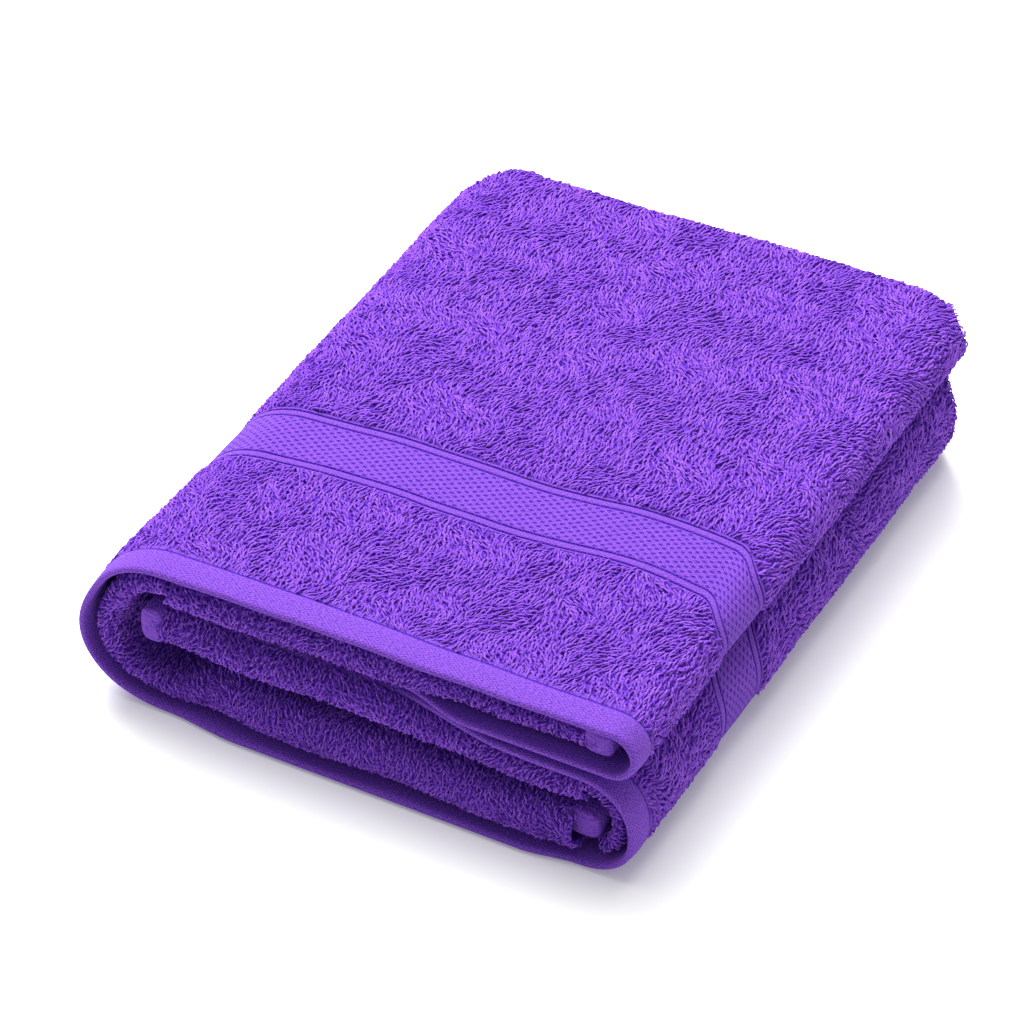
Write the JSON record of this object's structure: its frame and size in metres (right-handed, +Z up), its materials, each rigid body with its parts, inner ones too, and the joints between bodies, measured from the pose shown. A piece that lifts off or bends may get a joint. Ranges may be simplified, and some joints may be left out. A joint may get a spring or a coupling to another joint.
{
  "type": "folded terry bath towel",
  "caption": "Folded cotton terry bath towel with plain-weave hems and a woven dobby border, opening like a book about its left fold.",
  "frame": {"origin": "middle of the flat face that the folded towel rests on", "axes": "+X from the rounded spine towards the open side with the two bends, +Y from the hems at the front to the folds at the back, +Z up through the stack"},
  "size_m": [0.255, 0.326, 0.077],
  "materials": {
    "terry": "cotton loop pile, violet",
    "plain_weave": "plain-weave cotton, violet",
    "dobby_weave": "dobby-woven cotton, violet",
    "thread": "sewing thread, violet"
  },
  "bodies": {
    "bottom_half": {"bottom_back_fold": "terry", "bottom_back_terry": "terry", "bottom_dobby_border": "dobby_weave", "bottom_header_terry": "terry", "bottom_hem": "plain_weave", "bottom_hem_seam": "thread", "bottom_inner_folds": "terry", "bottom_inner_side_edge": "plain_weave", "lower_bend_back_fold": "terry", "lower_bend_back_terry": "terry", "lower_bend_dobby_border": "dobby_weave", "lower_bend_header_terry": "terry", "lower_bend_hem": "plain_weave", "lower_bend_hem_seam": "thread", "middle_back_fold": "terry", "middle_back_terry": "terry", "middle_dobby_border": "dobby_weave", "middle_header_terry": "terry", "middle_hem": "plain_weave", "middle_hem_seam": "thread", "middle_inner_folds": "terry", "middle_side_edge": "plain_weave", "spine_back_fold": "terry", "spine_back_terry": "terry", "spine_dobby_border": "dobby_weave", "spine_header_terry": "terry", "spine_hem": "plain_weave", "spine_hem_seam": "thread", "spine_inner_folds": "terry"},
    "top_half": {"top_back_fold": "terry", "top_back_terry": "terry", "top_dobby_border": "dobby_weave", "top_header_terry": "terry", "top_hem": "plain_weave", "top_hem_seam": "thread", "top_inner_folds": "terry", "top_inner_side_edge": "plain_weave", "upper_bend_back_terry": "terry", "upper_bend_dobby_border": "dobby_weave", "upper_bend_header_terry": "terry", "upper_bend_hem": "plain_weave", "upper_bend_hem_seam": "thread"},
    "side_flap": {"side_flap_back_terry": "terry", "side_flap_dobby_border": "dobby_weave", "side_flap_header_terry": "terry", "side_flap_hem": "plain_weave", "side_flap_hem_seam": "thread", "side_flap_side_edge": "plain_weave"}
  },
  "joints": [
    {"name": "book_fold", "type": "hinge", "parent": "bottom_half", "child": "top_half", "pos_m": [-0.1275, 0, 0.0385], "axis": [0, -1, 0], "range_deg": [0, 180], "deforming": ["spine_back_fold", "spine_back_terry", "spine_dobby_border", "spine_header_terry", "spine_hem", "spine_hem_seam", "spine_inner_folds"]},
    {"name": "flap_fold", "type": "hinge", "parent": "top_half", "child": "side_flap", "pos_m": [0.12982, 0, 0.064], "axis": [0, -1, 0], "range_deg": [0, 180], "deforming": ["upper_bend_back_terry", "upper_bend_dobby_border", "upper_bend_header_terry", "upper_bend_hem", "upper_bend_hem_seam"]}
  ],
  "couplings": [
    {"joint": "flap_fold", "follows": "book_fold", "ratio": 1}
  ]
}
